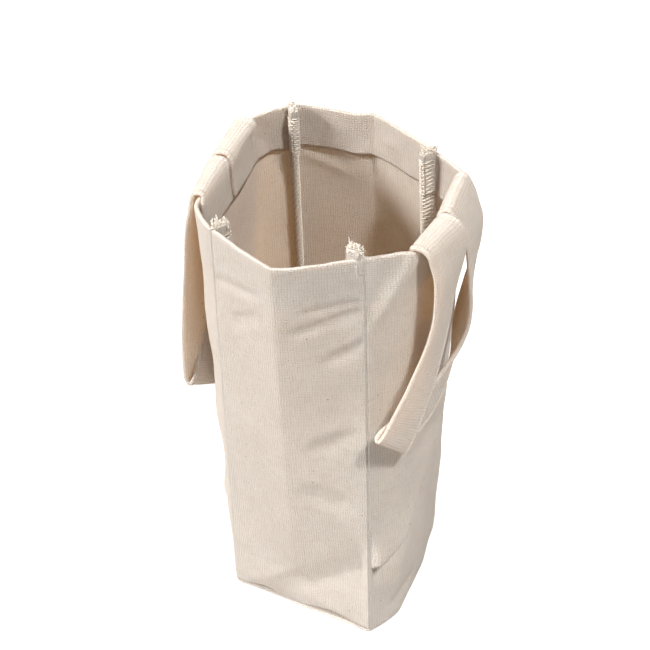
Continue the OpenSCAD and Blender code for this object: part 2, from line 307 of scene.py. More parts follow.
class Section:
    """A quarter of the bag's outline at one height, worked out from the cloth's own width.

    The face and the gusset are each kept as four rows: the distance along the cloth from the panel's
    middle, X and Y there, and the cloth's turn in radians.
    """

    FLANK_START = 0.72
    FLANK_GAIN = 0.56
    GUSSET_START = 0.82
    GUSSET_GAIN = 0.36

    def __init__(self, form: Form, up: float) -> None:
        """Walks the cloth from the middle of a face and of a gusset to the corner.

        Args:
            form: The bag's form.
            up: The height, in metres.
        """
        flank = between(form.flank_angles, up / form.height)
        face_s = np.arange(0, form.face / 2 + form.step / 2, form.step)
        out = np.clip((face_s - form.pad_half) / (form.face / 2 - form.pad_half), 0, 1)
        ramp = np.clip((face_s - form.pad_half + form.pad_turn) / (2 * form.pad_turn), 0, 1)
        ramp = ramp * ramp * (3 - 2 * ramp)
        face_t = np.radians(flank) * ramp * (self.FLANK_START + self.FLANK_GAIN * out)
        half = form.gusset / 2
        gusset_s = np.arange(0, half + form.step / 2, form.step)
        if up < form.foot:
            edge = half * (1 - up / form.foot)
            gusset_t = np.radians(form.gusset_angles[0]) * np.clip((gusset_s - edge) / form.crease_turn, 0, 1)
        else:
            angle = between(form.gusset_angles, (up - form.foot) / (form.height - form.foot))
            soft = np.clip(gusset_s / form.crease_turn, 0, 1)
            gusset_t = np.radians(angle) * soft * (self.GUSSET_START + self.GUSSET_GAIN * gusset_s / half)
        gusset_x, fall = (self._walk(rates, form.step) for rates in (np.cos(gusset_t), np.sin(gusset_t)))
        face_y, sink = (self._walk(rates, form.step) for rates in (np.cos(face_t), np.sin(face_t)))
        self.corner_x, self.corner_y = float(gusset_x[-1]), float(face_y[-1])
        self.pad_x = self.corner_x + float(sink[-1])
        self.face = (face_s, self.pad_x - sink, face_y, face_t)
        self.gusset = (gusset_s, gusset_x, self.corner_y + fall[-1] - fall, gusset_t)

    @staticmethod
    def _walk(rates: np.ndarray, step: float) -> np.ndarray:
        """Adds up steps along the cloth, from nothing."""
        return np.concatenate([[0.0], np.cumsum((rates[1:] + rates[:-1]) / 2 * step)])


@dataclass(frozen=True)
class Panel:
    """A face or a gusset: where its cloth stands, with its folds, its swell and its seam puckers."""

    form: Form
    side: Side
    folds: tuple[Fold, ...]
    seed: float
    swell: float
    seam_reach: float = 5 * MM
    foot_share: float = 0.25
    foot_reach: float = 14 * MM
    rim_calm: float = 0.6
    rim_reach: float = 30 * MM
    swell_wave: float = 34 * MM
    fine_share: float = 0.4
    fine_stretch: float = 0.7
    fine_wave: float = 13 * MM
    pucker: float = 0.35 * MM
    pucker_wave: float = 4.2 * MM
    tight_turn: float = 1.2 * MM

    FINE_SEED = 7
    PUCKER_SEED = 3
    LEVEL_DIGITS = 6

    @property
    def half(self) -> float:
        """Half of the panel's width of cloth, in metres."""
        return (self.form.face if self.side.is_face else self.form.gusset) / 2

    def corner_ways(self, across: float) -> Point:
        """Gives the signs along X and Y of the corner that a place lies towards."""
        sign = -1.0 if across < 0 else 1.0
        return (self.side.way, sign) if self.side.is_face else (sign, self.side.way)

    def relief(self, across: float, up: float) -> float:
        """Gives how far the cloth stands proud of the regular form.

        Args:
            across: Place across the panel, in metres, with +Y or +X as its positive side.
            up: Height, in metres.

        Returns:
            The relief, in metres.
        """
        edge = self.half - abs(across)
        height = self.form.height
        held = smooth(edge, 0.0, self.seam_reach)
        held *= between((self.foot_share, 1.0), smooth(up, 0.0, self.foot_reach))
        lift = 1 - self.rim_calm * smooth(up, height - self.rim_reach, height)
        lift *= self.swell * ruffle(across, up, self.swell_wave, self.seed)
        fine = ruffle(across, up * self.fine_stretch, self.fine_wave, self.seed + self.FINE_SEED)
        lift += self.fine_share * self.swell * fine
        lift += (math.exp(-edge / self.seam_reach) * self.pucker
                 * ruffle(up, 0.0, self.pucker_wave, self.seed + self.PUCKER_SEED))
        lift += sum(fold.at(across, up) for fold in self.folds)
        return lift * held

    def at(self, across: float, up: float, depth: float) -> Vector:
        """Gives the place of the cloth in the part's frame.

        Args:
            across: Place across the panel, in metres, with +Y or +X as its positive side. Past the
                seam it runs along the allowance.
            up: Height, in metres.
            depth: Depth below the outer line, in metres.

        Returns:
            The place.
        """
        level = min(max(up, 0.0), self.form.height)
        ways = self.corner_ways(across)
        x, y = self._quarter(across, level, depth)
        return self.form.settle(ways[0] * x, ways[1] * y, up)

    def _quarter(self, across: float, up: float, depth: float) -> Point:
        """Gives a place on the regular form, as if its corner were the one where X and Y are positive.

        Args:
            across: Place across the panel, in metres.
            up: Height, in metres.
            depth: Depth below the outer line, in metres.

        Returns:
            The place in the plane of that height, before the bag slumps.
        """
        size = abs(across)
        turn = max(2 * depth, self.tight_turn)
        if size <= self.half - turn:
            return self._flat(size, up, depth - self.relief(across, up))
        section = self.form.section(up)
        angle = self.form.fin_angle(*self.corner_ways(across), up)
        corner = Vector((section.corner_x, section.corner_y))
        along = Vector((-math.cos(angle), -math.sin(angle)))
        beside = Vector((math.sin(angle), -math.cos(angle))) * (1 if self.side.is_face else -1)
        if size >= self.half + turn:
            place = corner + along * (size - self.half) + beside * depth
            return (place.x, place.y)
        before = Vector(self._flat(self.half - turn, up, depth))
        knee = Vector(self._flat(self.half, up, depth))
        after = corner + along * turn + beside * depth
        share = (size - self.half + turn) / (2 * turn)
        place = (1 - share) ** 2 * before + 2 * share * (1 - share) * knee + share**2 * after
        return (place.x, place.y)

    def _flat(self, size: float, up: float, depth: float) -> Point:
        """Gives a place of the panel itself, as if X and Y were positive there.

        Args:
            size: Distance from the panel's middle along the cloth, in metres.
            up: Height, in metres.
            depth: Depth below the outer line, in metres.

        Returns:
            The place in the plane of that height.
        """
        section = self.form.section(round(up, self.LEVEL_DIGITS))
        marks, *curves = section.face if self.side.is_face else section.gusset
        x, y, turn = (float(np.interp(size, marks, curve)) for curve in curves)
        sine, cosine = math.sin(turn), math.cos(turn)
        inward = (cosine, sine) if self.side.is_face else (sine, cosine)
        return (x - inward[0] * depth, y - inward[1] * depth)


def as_object(mesh_data: bmesh.types.BMesh, name: str) -> bpy.types.Object:
    """Turns a finished bmesh into an object in the scene, and frees it.

    Args:
        mesh_data: The bmesh.
        name: The object's name.

    Returns:
        The object.
    """
    mesh = bpy.data.meshes.new(name)
    mesh_data.to_mesh(mesh)
    mesh_data.free()
    made = bpy.data.objects.new(name, mesh)
    bpy.context.scene.collection.objects.link(made)
    return made


def sheet_mesh(name: str, columns: Ruler, rows: Ruler, place: Place) -> bpy.types.Object:
    """Makes an open sheet of cloth from a grid.

    Args:
        name: The piece's name.
        columns: Where the grid's lines across the cloth lie.
        rows: Where the grid's lines along the cloth lie.
        place: Gives a point in the part's frame for a place across and along.

    Returns:
        The sheet as an object, with the cloth's own measure as its UV map.
    """
    mesh_data = bmesh.new()
    uv_layer = mesh_data.loops.layers.uv.new(CLOTH_UV)
    bmesh.ops.create_grid(mesh_data, x_segments=columns.count, y_segments=rows.count, size=0.5)
    spots = {v: (columns.at(v.co.x + 0.5), rows.at(v.co.y + 0.5)) for v in mesh_data.verts}
    for face in mesh_data.faces:
        face.smooth = True
        for loop in face.loops:
            spot = spots[loop.vert]
            loop[uv_layer].uv = (spot[0] / UV_UNIT, spot[1] / UV_UNIT)
    for vert, spot in spots.items():
        vert.co = place(*spot)
    return as_object(mesh_data, name)


def apply_modifiers(piece: bpy.types.Object) -> None:
    """Bakes a piece's modifiers into its mesh.

    Args:
        piece: The piece.
    """
    graph = bpy.context.evaluated_depsgraph_get()
    baked = bpy.data.meshes.new_from_object(piece.evaluated_get(graph))
    piece.modifiers.clear()
    old = piece.data
    piece.data = baked
    baked.name = piece.name
    bpy.data.meshes.remove(old)


def thicken(piece: bpy.types.Object, thickness: float) -> None:
    """Gives an open sheet its thickness, half to each side.

    Args:
        piece: The sheet.
        thickness: The cloth's thickness, in metres.
    """
    modifier = piece.modifiers.new("thickness", "SOLIDIFY")
    modifier.thickness = thickness
    modifier.offset = 0.0
    apply_modifiers(piece)
    shell = bmesh.new()
    shell.from_mesh(piece.data)
    bmesh.ops.recalc_face_normals(shell, faces=shell.faces)
    shell.to_mesh(piece.data)
    shell.free()


def close_up(mesh_data: bmesh.types.BMesh) -> None:
    """Welds the seam of rolled-up grids, closes their ends and turns their faces outwards.

    Args:
        mesh_data: The bmesh.
    """
    bmesh.ops.remove_doubles(mesh_data, verts=mesh_data.verts, dist=WELD)
    bmesh.ops.holes_fill(mesh_data, edges=[e for e in mesh_data.edges if e.is_boundary], sides=0)
    bmesh.ops.recalc_face_normals(mesh_data, faces=mesh_data.faces)


@dataclass
class Carrier:
    """The sewn bag: one strip for both faces and the base, and two gussets."""

    form: Form
    rim_drop: float = 0.3 * MM
    rim_swell: float = 0.9 * MM
    rim_wave: float = 22 * MM
    rim_ripple: float = 0.45 * MM
    ripple_wave: float = 6 * MM
    rim_reach: float = 40 * MM
    tab_ramp: Point = (0.5 * MM, 3 * MM)
    hem_gap: float = 0.5 * MM
    hem_looseness: float = 0.6
    hem_wave: float = 11 * MM
    base_lift: float = 0.5 * MM
    base_wave: float = 26 * MM
    base_ramp: Point = (0.8, 1.0)
    fold_turn: float = 1.5 * MM
    fold_bulge: float = 0.9
    fold_share: float = 0.25
    fold_ramp: Point = (0.75, 1.0)
    gusset_turn: float = 1.6 * MM
    gusset_foot: float = 2.1 * MM
    arch_rise: float = 4.5 * MM
    arches: tuple[Point, ...] = ((-20 * MM, 10 * MM), (17 * MM, 11 * MM))
    corner_gap: float = 2 * MM
    corner_slope: float = 0.8
    fine_turn: float = 2.4 * MM
    fine_crease: float = 3 * MM
    strip_low: float = 60 * MM
    gusset_low: float = 44 * MM
    edge_steps: tuple[int, ...] = (4, 8)
    face_steps: int = 76
    crease_steps: tuple[int, ...] = (32, 10, 32)
    base_steps: int = 40
    strip_steps: tuple[int, ...] = (5, 66, 112, 6, 14)
    gusset_steps: tuple[int, ...] = (4, 6, 38, 126, 6, 14)

    RIM_SEED = 11
    RIPPLE_SEED = 17
    HEM_SEED = 3.3
    BASE_SEED = 21.0
    RIGHT_FOLDS = (
        Fold((-52, 47), (-10, 78), 3.2, 12, 1.2, open_start=True),
        Fold((-52, 44), (-8, 74), -5.5, 1.5, 10, open_start=True),
        Fold((-27, 253), (-45, 214), 2, 3, 4, open_start=True),
        Fold((-20, 120), (30, 90), -1.8, 10, 8),
        Fold((-34, 16), (-8, 8), -1.8, 5, 6),
    )
    LEFT_FOLDS = (
        Fold((-44, 64), (24, 40), 1.4, 9, 4),
        Fold((30, 250), (44, 205), 1.1, 4, 4, open_start=True),
        Fold((-30, 150), (20, 175), -1.0, 9, 9),
    )
    FRONT_FOLDS = (
        Fold((37, 229), (11, 226), -1.1, 1.6, 1.8, open_start=True),
        Fold((37, 224), (5, 212), -1.5, 2.5, 3, open_start=True),
        Fold((37, 205), (19, 193), -1.4, 2.2, 3.5, open_start=True),
        Fold((-36, 226), (-8, 233), -0.7, 2, 2.5, open_start=True),
        Fold((-30, 205), (-4, 222), -0.8, 3, 5),
        Fold((-6, 13), (38, 50), -3.8, 26, 14, open_end=True, sharp=True),
        Fold((-3, 22), (24, 4), 1.2, 5, 9),
        Fold((6, 105), (30, 92), -1.2, 7, 6),
        Fold((10, 132), (34, 148), -0.9, 4, 6),
    )
    REAR_FOLDS = (
        Fold((-37, 226), (-8, 214), -0.8, 2.5, 3, open_start=True),
        Fold((36, 190), (12, 178), -0.7, 3, 3.5, open_start=True),
        Fold((-38, 36), (-4, 33), -1.3, 12, 8, open_start=True),
    )

    def __post_init__(self) -> None:
        """Sets up the four panels and the fold where a face turns under the base."""
        form = self.form
        self.right = Panel(form, Side.RIGHT, self.RIGHT_FOLDS, seed=1.3, swell=1.0 * MM)
        self.left = Panel(form, Side.LEFT, self.LEFT_FOLDS, seed=5.1, swell=1.0 * MM)
        self.front = Panel(form, Side.FRONT, self.FRONT_FOLDS, seed=9.7, swell=0.6 * MM)
        self.rear = Panel(form, Side.REAR, self.REAR_FOLDS, seed=13.9, swell=0.8 * MM)
        self.base_radius = form.base_fold - form.cloth / 2
        self.base_flat = form.section(0.0).corner_x - form.base_fold
        self.base_arc = math.pi / 2 * self.base_radius

    def _hemmed(self, panel: Panel, across: float, along: float) -> Vector:
        """Follows a panel up to the rim, over it and down the inner side of the hem.

        Args:
            panel: The panel.
            across: Place across it, in metres.
            along: Distance from the floor up the cloth and on over the rim, in metres.

        Returns:
            The place of the middle of the cloth.
        """
        form = self.form
        radius = form.cloth / 2
        top = form.height - form.cloth
        sag = self.rim_swell * ruffle(across, 0.0, self.rim_wave, panel.seed + self.RIM_SEED) - self.rim_drop
        sag += self.rim_ripple * ruffle(across, 0.0, self.ripple_wave, panel.seed + self.RIPPLE_SEED)
        sag += form.fin_rise(*panel.corner_ways(across)) * smooth(abs(across) - panel.half, *self.tab_ramp)
        if along <= top:
            return panel.at(across, along + sag * smooth(along, top - self.rim_reach, top), radius)
        arc = math.pi * radius
        if along <= top + arc:
            angle = (along - top) / radius
            return panel.at(across, top + sag + radius * math.sin(angle), radius * (2 - math.cos(angle)))
        down = along - top - arc
        loose = self.hem_looseness + ruffle(across, down, self.hem_wave, self.HEM_SEED)
        loose *= self.hem_gap * smooth(down, 0.0, form.hem)
        return panel.at(across, top + sag - down, 3 * radius + loose)

    def strip_at(self, across: float, along: float) -> Vector:
        """Follows the body strip from the middle of the base up a face and over the rim.

        Args:
            across: Place across the strip, in metres.
            along: Distance from the middle of the base, in metres, positive on the right side.

        Returns:
            The place of the middle of the cloth.
        """
        form = self.form
        panel = self.right if along >= 0 else self.left
        past = abs(along) - self.base_flat
        if past >= self.base_arc:
            return self._hemmed(panel, across, form.base_fold + past - self.base_arc)
        base = self._base_at(across, panel, 1.0)
        if past <= 0:
            share = abs(along) / self.base_flat
            middle = self._base_at(across, panel, 0.0)
            lift = self.base_lift * (1 + ruffle(across, along, self.base_wave, self.BASE_SEED))
            lift *= 1 - smooth(share, *self.base_ramp)
            return middle + (base - middle) * share + Vector((0, 0, lift))
        angle = past / self.base_radius
        reach = panel.at(across, form.base_fold, form.cloth / 2) - base
        return base + Vector((reach.x * math.sin(angle), reach.y * math.sin(angle),
                              reach.z * (1 - math.cos(angle))))

    def _base_at(self, across: float, panel: Panel, share: float) -> Vector:
        """Gives a place of the base sheet, with its allowances turned in along the gussets.

        Args:
            across: Place across the strip, in metres.
            panel: The face that the base runs up to.
            share: From 0 in the middle of the base to 1 where the cloth turns up.

        Returns:
            The place of the middle of the cloth.
        """
        form, turn, half = self.form, self.fold_turn, panel.half
        sign = -1.0 if across < 0 else 1.0
        size = abs(across)
        edge = panel.at(sign * min(size, half), 0.0, form.cloth / 2)
        x = (edge.x - panel.side.way * self.base_radius) * share
        if size <= half - turn:
            return Vector((x, edge.y, form.cloth / 2))
        angle = min((size - half + turn) / (2 * turn), 1.0) * math.pi
        seam = panel.at(sign * (half - turn), 0.0, form.cloth / 2).y
        past = between((1.0, self.fold_share), smooth(share, *self.fold_ramp)) * max(size - half - turn, 0.0)
        y = seam + sign * (turn * math.sin(angle) * self.fold_bulge - past)
        return Vector((x, y, form.cloth - form.cloth / 2 * math.cos(angle)))

    def gusset_at(self, panel: Panel, across: float, along: float) -> Vector:
        """Follows a gusset from its allowance on the base up to the rim and over it.

        Args:
            panel: The gusset.
            across: Place across it, in metres.
            along: Distance up the cloth from the seam on the base, in metres.

        Returns:
            The place of the middle of the cloth.
        """
        form, turn, way = self.form, self.gusset_turn, panel.side.way
        arches = sum(bell(across - middle, width) for middle, width in self.arches)
        low = self.gusset_foot + self.arch_rise * arches
        if along >= turn:
            return self._hemmed(panel, across, low + turn + (along - turn) * (1 - low / form.height))
        inner = across if abs(across) < panel.half else math.copysign(panel.half - self.corner_gap, across)
        wall = panel.at(inner, low + turn, form.cloth / 2)
        if along >= -turn:
            angle = (turn - along) / (2 * turn) * math.pi / 2
            return wall - Vector((0, way * turn * (1 - math.cos(angle)), turn * math.sin(angle)))
        past = -along - turn
        spot = wall - Vector((0, way * (turn + past), turn))
        limit = form.section(0.0).corner_x - past * self.corner_slope
        spot.x = max(-limit, min(limit, spot.x))
        return spot

    def build(self) -> dict[str, bpy.types.Object]:
        """Makes the cloth of the strip and of the gussets.

        Returns:
            The pieces by name.
        """
        form, turn = self.form, self.fine_turn
        foot = self.base_flat + self.base_arc
        rim = foot + form.height - form.base_fold - form.cloth
        over = rim + math.pi * form.cloth / 2
        marks = (self.base_flat, foot, foot + self.strip_low, rim, over, over + form.hem - form.cloth)
        rows = Ruler(tuple(-m for m in reversed(marks)) + marks,
                     (*reversed(self.strip_steps), self.base_steps, *self.strip_steps))
        half = self.right.half
        marks = (half - turn, half + turn, half + form.allowance)
        columns = Ruler(tuple(-m for m in reversed(marks)) + marks,
                        (*self.edge_steps, self.face_steps, *reversed(self.edge_steps)))
        pieces = {"body_strip_cloth": sheet_mesh("body_strip_cloth", columns, rows, self.strip_at)}
        half = self.front.half
        marks = (self.fine_crease, half - turn, half + turn, half + form.allowance)
        columns = Ruler(tuple(-m for m in reversed(marks)) + marks,
                        (*self.edge_steps, *self.crease_steps, *reversed(self.edge_steps)))
        top = form.height - form.cloth
        marks = (-form.allowance, -self.gusset_turn, self.gusset_turn, self.gusset_low, top,
                 top + math.pi * form.cloth / 2, top + form.hem)
        rows = Ruler(marks, self.gusset_steps)
        for name, panel in (("front_gusset_cloth", self.front), ("rear_gusset_cloth", self.rear)):
            pieces[name] = sheet_mesh(name, columns, rows, partial(self.gusset_at, panel))
        for piece in pieces.values():
            thicken(piece, form.cloth)
        return pieces


@dataclass(frozen=True)
class Station:
    """A place on a strap's middle line, in millimetres, and how its width lies there, in degrees."""

    x: float
    y: float
    z: float
    turn: float = 0.0
    tilt: float = 0.0


class Ribbon:
    """A strap's middle line, smoothed through its stations, with the way of its width and of its outside."""

    SPAN_STEPS = 24

    def __init__(self, stations: Sequence[Station], spacing: float) -> None:
        """Lays a smooth line through the stations.

        Args:
            stations: The stations, from one sewn end to the other.
            spacing: Distance between the points worked out, in metres.
        """
        rows = np.array([(s.x, s.y, s.z, s.turn, s.tilt) for s in stations], float)
        rows = np.vstack([2 * rows[0] - rows[1], rows, 2 * rows[-1] - rows[-2]])
        shares = np.linspace(0, 1, self.SPAN_STEPS, endpoint=False)[:, None]
        fine = []
        for a, b, c, d in zip(rows, rows[1:], rows[2:], rows[3:]):
            bend = 2 * a - 5 * b + 4 * c - d
            twist = 3 * b - a - 3 * c + d
            fine.append(0.5 * (2 * b + (c - a) * shares + bend * shares**2 + twist * shares**3))
        fine.append(rows[-2][None, :])
        path = np.vstack(fine)
        path[:, :3] *= MM
        run = np.concatenate([[0], np.cumsum(np.linalg.norm(np.diff(path[:, :3], axis=0), axis=1))])
        self.length = float(run[-1])
        self.count = int(round(self.length / spacing))
        marks = np.linspace(0, self.length, self.count + 1)
        path = np.column_stack([np.interp(marks, run, column) for column in path.T])
        turn, tilt = np.radians(path[:, 3]), np.radians(path[:, 4])
        self.places = path[:, :3]
        self.widths = np.column_stack([np.sin(turn) * np.cos(tilt), np.cos(turn) * np.cos(tilt), -np.sin(tilt)])
        outs = np.cross(np.gradient(self.places, axis=0), self.widths)
        self.outs = outs / np.linalg.norm(outs, axis=1)[:, None]

    def at(self, along: float, across: float, out: float) -> Vector:
        """Gives a place on or beside the ribbon.

        Args:
            along: Share of the ribbon's length, from 0 to 1.
            across: Distance from the middle line along the width, in metres.
            out: Distance off the ribbon's middle, in metres.

        Returns:
            The place in the part's frame.
        """
        spot = along * self.count
        low = min(int(spot), self.count - 1)
        share = spot - low
        mixed = [rows[low] * (1 - share) + rows[low + 1] * share
                 for rows in (self.places, self.widths, self.outs)]
        return Vector(mixed[0] + mixed[1] * across + mixed[2] * out)


@dataclass(frozen=True)
class Strap:
    """A folded strap, sewn inside the hem with both ends, that hangs outside a face as a loop."""

    name: str
    stations: tuple[Station, ...]
    seed: float
    width: float = 26 * MM
    thickness: float = 2 * MM
    spacing: float = 1.1 * MM
    bead: float = 0.4 * MM
    bead_width: float = 0.9 * MM
    groove: float = 0.7
    groove_at: float = 2 * MM
    groove_width: float = 1 * MM
    edge_round: float = 0.5 * MM
    edge_width: float = 3.2 * MM
    near_steps: int = 8
    flat_steps: int = 16
    edge_steps: int = 6
    swell: float = 0.5 * MM
    swell_wave: float = 30 * MM
    wander: float = 0.35 * MM
    wander_wave: float = 17 * MM

    WANDER_SEED = 4

    @property
    def steps(self) -> tuple[int, ...]:
        """The grid steps round the section."""
        return (self.near_steps, self.flat_steps, self.near_steps, self.edge_steps) * 2

    def profile(self, share: float) -> tuple[float, float, float]:
        """Goes round the strap's section.

        Args:
            share: How far round, from 0 to 1.

        Returns:
            Place across the width, place off the middle, and distance gone round, in metres.
        """
        radius = self.thickness / 2
        flat = self.width - self.thickness
        half_way = flat + math.pi * radius
        side = (0, self.edge_width, flat - self.edge_width, flat, half_way)
        gone = Ruler(side + tuple(half_way + mark for mark in side[1:]), self.steps).at(share)
        upper = share < 0.5 or share == 1.0
        sign = 1.0 if upper else -1.0
        lap = 0.0 if share == 1.0 else gone - (0.0 if upper else half_way)
        if lap <= flat:
            inset = min(lap, flat - lap)
            groove = self.groove * bell(inset - self.groove_at, self.groove_width)
            bead = self.bead * (bell(inset, self.bead_width) - groove) * (1 - bell(inset, self.edge_round))
            return sign * (lap - flat / 2), sign * (radius + bead), gone
        angle = (lap - flat) / radius
        return sign * (flat / 2 + radius * math.sin(angle)), sign * radius * math.cos(angle), gone

    def build(self) -> bpy.types.Object:
        """Makes the strap.

        Returns:
            The strap as a closed mesh.
        """
        ribbon = Ribbon(self.stations, self.spacing)
        strap = bmesh.new()
        uv_layer = strap.loops.layers.uv.new(CLOTH_UV)
        bmesh.ops.create_grid(strap, x_segments=sum(self.steps), y_segments=ribbon.count, size=0.5)
        spots = {v: (v.co.x + 0.5, v.co.y + 0.5) for v in strap.verts}
        for face in strap.faces:
            face.smooth = True
            for loop in face.loops:
                u, v = spots[loop.vert]
                loop[uv_layer].uv = (self.profile(u)[2] / UV_UNIT, v * ribbon.length / UV_UNIT)
        for vert, (u, v) in spots.items():
            across, out, _ = self.profile(u)
            gone = v * ribbon.length
            swell = self.swell * ruffle(gone, across, self.swell_wave, self.seed)
            wander = self.wander * ruffle(gone, 0.0, self.wander_wave, self.seed + self.WANDER_SEED)
            vert.co = ribbon.at(v, across + wander, out + swell)
        close_up(strap)
        LOG.info("%s is %.0f mm long", self.name, ribbon.length / MM)
        return as_object(strap, self.name)


@dataclass(frozen=True)
class Hang:
    """How one strap hangs, in millimetres.

    It names the body and the nodes and gives the stations outside the rim, where the strap starts to
    turn with its loop and over what distance, and how its two ends are sewn beside the slit.
    """

    name: str
    body: str
    nodes: tuple[str, ...]
    seed: float
    outside: tuple[Station, ...]
    bends_at: float
    bend_reach: float
    beside_slit: float = 13.4
    sewn_heights: tuple[float, ...] = (233, 240, 246.5, 251.5)
    sewn_depth: float = 3.1
    probe: float = 8

    def sewn(self, panel: Panel, across: float) -> list[Station]:
        """Lays a sewn end against the inner side of the hem, from its lower edge up.

        Args:
            panel: The face that carries the strap.
            across: Place of the end's middle across the face, in millimetres.

        Returns:
            The stations.
        """
        found = []
        for height in self.sewn_heights:
            ends = [panel.at((across + beside) * MM, height * MM, self.sewn_depth * MM)
                    for beside in (-self.probe, self.probe)]
            middle = (ends[0] + ends[1]) / 2 / MM
            run = ends[1] - ends[0]
            found.append(Station(middle.x, middle.y, height, math.degrees(math.atan2(run.x, run.y))))
        return found

    def stations(self, carrier: Carrier) -> list[Station]:
        """Joins the two sewn ends with the loop outside.

        Args:
            carrier: The bag.

        Returns:
            The strap's stations from its front end to its rear end.
        """
        panel = carrier.right if self.bends_at > 0 else carrier.left
        axis = carrier.form.axis
        hung = [replace(s, x=s.x + axis[0] / MM, y=s.y + axis[1] / MM) for s in self.outside]
        rear = self.sewn(panel, self.beside_slit)
        return self.sewn(panel, -self.beside_slit) + hung + rear[::-1]


RIGHT_HANG = Hang(
    "right_strap", "right_loop", ("right_handle", "right_strap_front_end", "right_strap_rear_end"), 31.7,
    (
        Station(45.6, -9.7, 254.9, 9), Station(48.4, -9.8, 255.8, 10), Station(51.8, -9.9, 255.2, 11),
        Station(54.4, -10.1, 252.8, 12), Station(55.6, -10.2, 248.5, 12), Station(57, -10.5, 238, 6),
        Station(56.2, -12.5, 217, -2, 6), Station(54.6, -17, 195, 3, 20), Station(52, -25, 174, 13, 35),
        Station(48.2, -35.5, 154, 24, 47), Station(46.9, -39.2, 148.2, 27, 50),
        Station(45.4, -40.6, 145.6, 27, 50), Station(44.1, -39.4, 147, 27, 50),
        Station(45.6, -34, 148.2, 26, 54), Station(48.8, -23, 148, 18, 61), Station(52, -9, 151, 0, 64),
        Station(54, 8, 160, -22, 52), Station(53.6, 17.5, 174, -32, 24), Station(55, 20.8, 192, -26, 6),
        Station(56.8, 20.6, 212, -14), Station(56.8, 18.6, 232, -8, 3), Station(55, 17.6, 242, -8, 6),
        Station(52.4, 17.4, 249, -7, 5), Station(49.4, 17.3, 253.8, -6, 2), Station(46.8, 17.2, 255.3, -5),
    ),
    bends_at=51.1,
    bend_reach=3.4,
)

LEFT_HANG = Hang(
    "left_strap", "left_loop", ("left_handle", "left_strap_front_end", "left_strap_rear_end"), 47.3,
    (
        Station(-50.8, -18.4, 254.9, -2), Station(-53.4, -18.6, 255.7, -5),
        Station(-56.2, -18.7, 254.3, -8), Station(-57.9, -18.8, 251, -9), Station(-58.8, -19.1, 244, -8),
        Station(-59.5, -19.6, 232, -4), Station(-59.6, -21.5, 205, 2, 3), Station(-59.6, -23.8, 170, 10, 14),
        Station(-58.8, -25.4, 133, 24, 31), Station(-58.4, -25.7, 127.5, 25, 33),
        Station(-56.9, -25.6, 125, 25, 33), Station(-55.4, -24.9, 127, 25, 33),
        Station(-54.9, -21.5, 134, 24, 32), Station(-57.2, -8, 162, 12, 18), Station(-59.8, 3, 195, 0, 5),
        Station(-61.2, 7.6, 228, -2), Station(-61.1, 8.4, 243, -4), Station(-60.2, 8.6, 250, -4),
        Station(-57.8, 8.7, 254.4, -3), Station(-54.4, 8.7, 255.7, -1), Station(-51.2, 8.7, 254.9, 1),
    ),
    bends_at=-51.8,
    bend_reach=2.7,
)


@dataclass(frozen=True)
class Tubes:
    """Round threads along lines."""

    name: str
    radius: float
    sides: int = 5
    girth: int = 6
    point_length: float = 0.01

    def build(self, lines: Iterable[Sequence[Vector]]) -> bpy.types.Object:
        """Makes the threads.

        Args:
            lines: Each thread's points, in the part's frame.

        Returns:
            The threads as one mesh.
        """
        threads = bmesh.new()
        uv_layer = threads.loops.layers.uv.new(CLOTH_UV)
        around = self.radius * self.girth / UV_UNIT
        for line in lines:
            last = len(line) - 1
            frames = self._frames(line)
            grid = bmesh.ops.create_grid(threads, x_segments=self.sides, y_segments=last, size=0.5)
            places = {v: (v.co.x + 0.5, round((v.co.y + 0.5) * last)) for v in grid["verts"]}
            for face in {face for vert in grid["verts"] for face in vert.link_faces}:
                face.smooth = True
                for loop in face.loops:
                    share, index = places[loop.vert]
                    loop[uv_layer].uv = (share * around, index * self.point_length)
            for vert, (share, index) in places.items():
                angle = 2 * math.pi * share
                u, v = frames[index]
                vert.co = line[index] + (u * math.cos(angle) + v * math.sin(angle)) * self.radius
        close_up(threads)
        return as_object(threads, self.name)

    @staticmethod
    def _frames(line: Sequence[Vector]) -> list[tuple[Vector, Vector]]:
        """Finds two ways square to a thread at each of its points, without twist between them.

        Args:
            line: The thread's points.

        Returns:
            The two ways for each point.
        """
        ways = [after - before for before, after in zip([line[0], *line], [*line[1:], line[-1]])]
        side = ways[0].orthogonal().normalized()
        frames = []
        for way in ways:
            side = (side - way * (side @ way) / way.length_squared).normalized()
            frames.append((side, side.cross(way.normalized())))
        return frames


@dataclass(frozen=True)
class Stitch:
    """A point of the thread in an overlock stitch.

    It gives the share of the stitch that is gone, the distance past the raw edge in millimetres, or
    None on the needle's own line, the share of the fin's half thickness, and how far proud of that the
    thread lies, in millimetres.
    """

    gone: float
    past_edge: float | None
    side: float
    proud: float = 0.0


